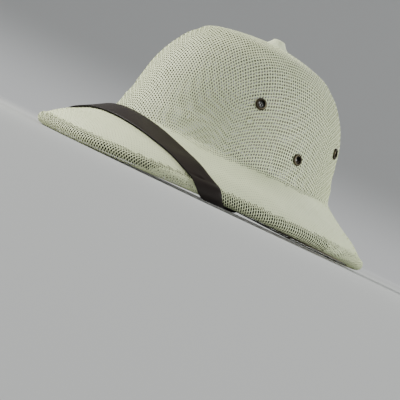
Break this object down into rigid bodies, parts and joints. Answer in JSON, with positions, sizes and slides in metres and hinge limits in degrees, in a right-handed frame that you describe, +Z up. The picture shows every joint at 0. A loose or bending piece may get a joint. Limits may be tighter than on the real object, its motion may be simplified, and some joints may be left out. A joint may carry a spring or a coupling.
{
  "type": "pith helmet",
  "caption": "White woven-straw sun helmet with a domed crown, a rolled sloping brim, brass air eyelets, a cloth-covered top button and a leather chin strap worn over the brim.",
  "frame": {"origin": "on the floor, under the middle of the rim", "axes": "+Z up, -Y towards the front of the hat, +X towards the wearer's left"},
  "size_m": [0.2756, 0.3168, 0.1528],
  "materials": {
    "straw": "white painted open weave",
    "lining": "cream cloth",
    "leather": "smooth dark brown",
    "brass": "antiqued"
  },
  "bodies": {
    "root": {"shell": "straw", "top_button": "straw", "brim_lining": "lining", "chin_strap": "leather", "strap_rivet_left": "brass", "strap_rivet_right": "brass", "eyelet_left_front": "brass", "eyelet_left_side": "brass", "eyelet_left_back": "brass", "eyelet_right_front": "brass", "eyelet_right_side": "brass", "eyelet_right_back": "brass"}
  },
  "joints": []
}
